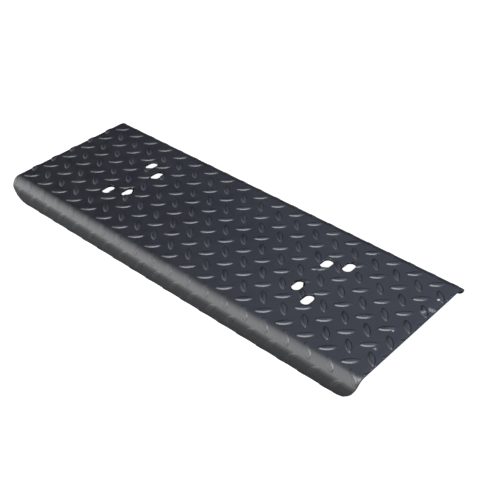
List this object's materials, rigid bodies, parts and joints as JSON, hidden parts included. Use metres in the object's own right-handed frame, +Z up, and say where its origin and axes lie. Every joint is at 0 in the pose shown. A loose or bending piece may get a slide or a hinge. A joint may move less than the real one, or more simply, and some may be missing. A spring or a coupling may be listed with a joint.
{
  "type": "formed tread plate",
  "caption": "Black tread plate with a deep rounded nose along one long edge, a shallow lip along the other and two groups of oblong mounting slots.",
  "frame": {"origin": "middle of the plate's length and depth, at the height of the nose's lower edge", "axes": "+X along the length, +Y from the nose to the lip, +Z up out of the tread"},
  "size_m": [0.61, 0.224, 0.033],
  "materials": {
    "plate": "satin black paint over rolled steel tread plate, worn on the lugs"
  },
  "bodies": {
    "root": {"tread_plate": "plate"}
  },
  "joints": []
}
